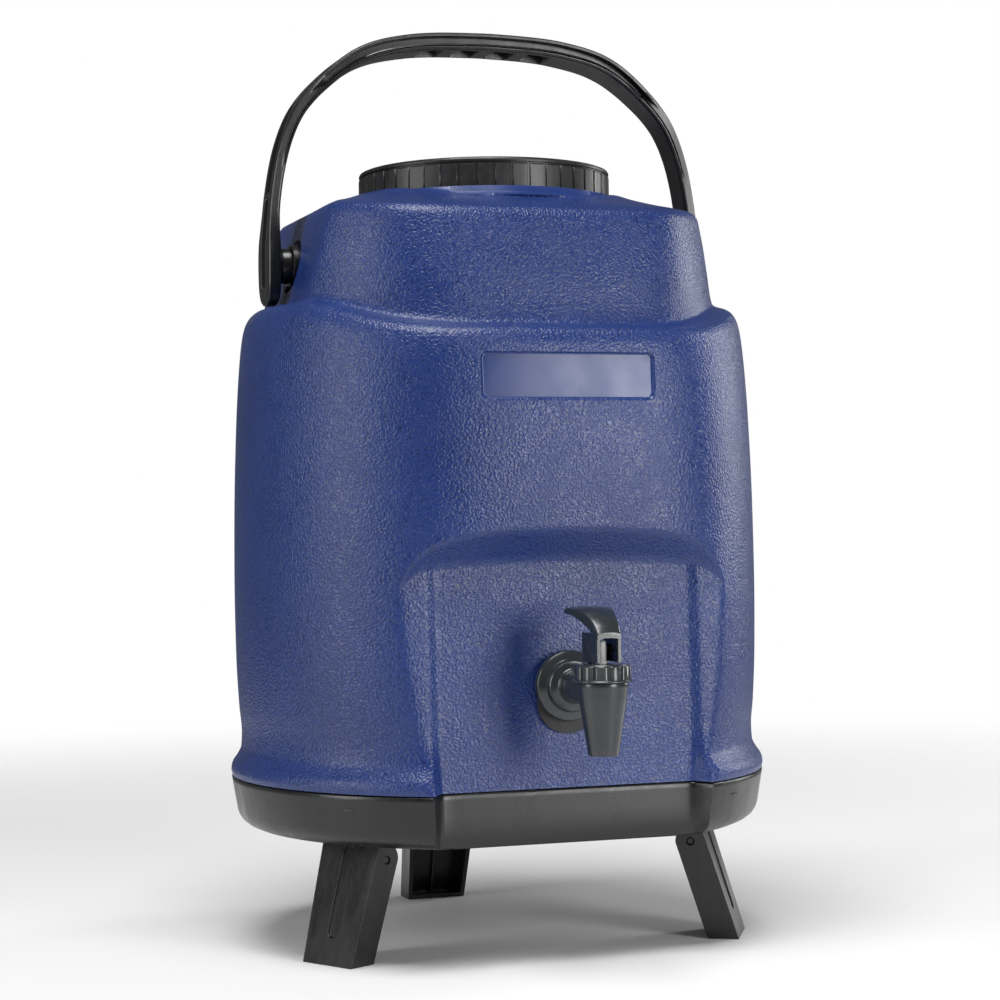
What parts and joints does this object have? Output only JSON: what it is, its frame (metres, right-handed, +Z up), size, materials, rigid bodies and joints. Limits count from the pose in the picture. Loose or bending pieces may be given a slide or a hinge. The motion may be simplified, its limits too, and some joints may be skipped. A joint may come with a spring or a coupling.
{
  "type": "beverage dispenser",
  "caption": "Insulated drinks jug with a ribbed screw cap, arched carrying bail, folding channel legs and a push-lever tap in a front recess.",
  "frame": {"origin": "on the floor under the middle of the whole object's box", "axes": "+Z up, -Y out of the front past the tap, +X to the right as seen from the front"},
  "size_m": [0.3004, 0.333, 0.5092],
  "materials": {
    "blue_shell": "satin blue polyethylene with a fine moulded pebble grain",
    "black_plastic": "satin black polypropylene",
    "tap_plastic": "satin dark grey acetal",
    "liner": "plain white food-grade polyethylene",
    "nylon": "natural white nylon",
    "foam": "rigid pale yellow foam, stood for by the nearest plastic",
    "seal_rubber": "black moulded rubber",
    "steel": "plain steel"
  },
  "bodies": {
    "jug": {"body_shell": "blue_shell", "insulation_foam": "foam", "tank_liner": "liner", "base_tray": "black_plastic", "pivot_boss_left": "black_plastic", "pivot_boss_right": "black_plastic", "pivot_washer_left": "nylon", "pivot_washer_right": "nylon", "pivot_pin_left": "steel", "pivot_pin_right": "steel", "tap_body": "tap_plastic", "tap_gasket_outer": "seal_rubber", "tap_gasket_inner": "seal_rubber", "tap_nut": "tap_plastic", "tap_bonnet": "tap_plastic", "leg_pin_1": "black_plastic", "leg_pin_2": "black_plastic", "leg_pin_3": "black_plastic"},
    "handle": {"handle_bail": "black_plastic"},
    "cap_carrier": {"cap_plug": "liner", "cap_gasket": "seal_rubber"},
    "cap": {"screw_cap": "black_plastic"},
    "leg_1": {"leg_1": "black_plastic"},
    "leg_2": {"leg_2": "black_plastic"},
    "leg_3": {"leg_3": "black_plastic"},
    "tap_lever": {"tap_lever": "tap_plastic", "tap_lever_pin": "steel"},
    "tap_stem": {"tap_stem": "nylon", "tap_seal": "seal_rubber", "tap_spring": "steel"}
  },
  "joints": [
    {"name": "handle_swing", "type": "hinge", "parent": "jug", "child": "handle", "pos_m": [0, 0.0253, 0.3755], "axis": [1, 0, 0], "range_deg": [-66, 98]},
    {"name": "cap_lift", "type": "slide", "parent": "jug", "child": "cap_carrier", "axis": [0, 0, 1], "range_m": [0, 0.05]},
    {"name": "cap_turn", "type": "hinge", "parent": "cap_carrier", "child": "cap", "pos_m": [0, 0.0253, 0.42], "axis": [0, 0, 1], "continuous": true},
    {"name": "leg_1_fold", "type": "hinge", "parent": "jug", "child": "leg_1", "pos_m": [-0.09699, -0.0397, 0.054], "axis": [0.5, -0.866, 0], "range_deg": [0, 100]},
    {"name": "leg_2_fold", "type": "hinge", "parent": "jug", "child": "leg_2", "pos_m": [0.09699, -0.0397, 0.054], "axis": [0.5, 0.866, 0], "range_deg": [0, 100]},
    {"name": "leg_3_fold", "type": "hinge", "parent": "jug", "child": "leg_3", "pos_m": [0, 0.1283, 0.054], "axis": [-1, 0, 0], "range_deg": [0, 100]},
    {"name": "tap_press", "type": "hinge", "parent": "jug", "child": "tap_lever", "pos_m": [0, -0.1446, 0.1666], "axis": [-1, 0, 0], "range_deg": [0, 25], "stiffness_Nm_per_rad": 0.2, "springref_deg": -5.73},
    {"name": "tap_stem_slide", "type": "slide", "parent": "jug", "child": "tap_stem", "axis": [0, 0, 1], "range_m": [0, 0.003], "deforming": ["tap_spring"]}
  ],
  "couplings": [
    {"joint": "tap_stem_slide", "follows": "tap_press", "m_per_rad": 0.0064}
  ]
}
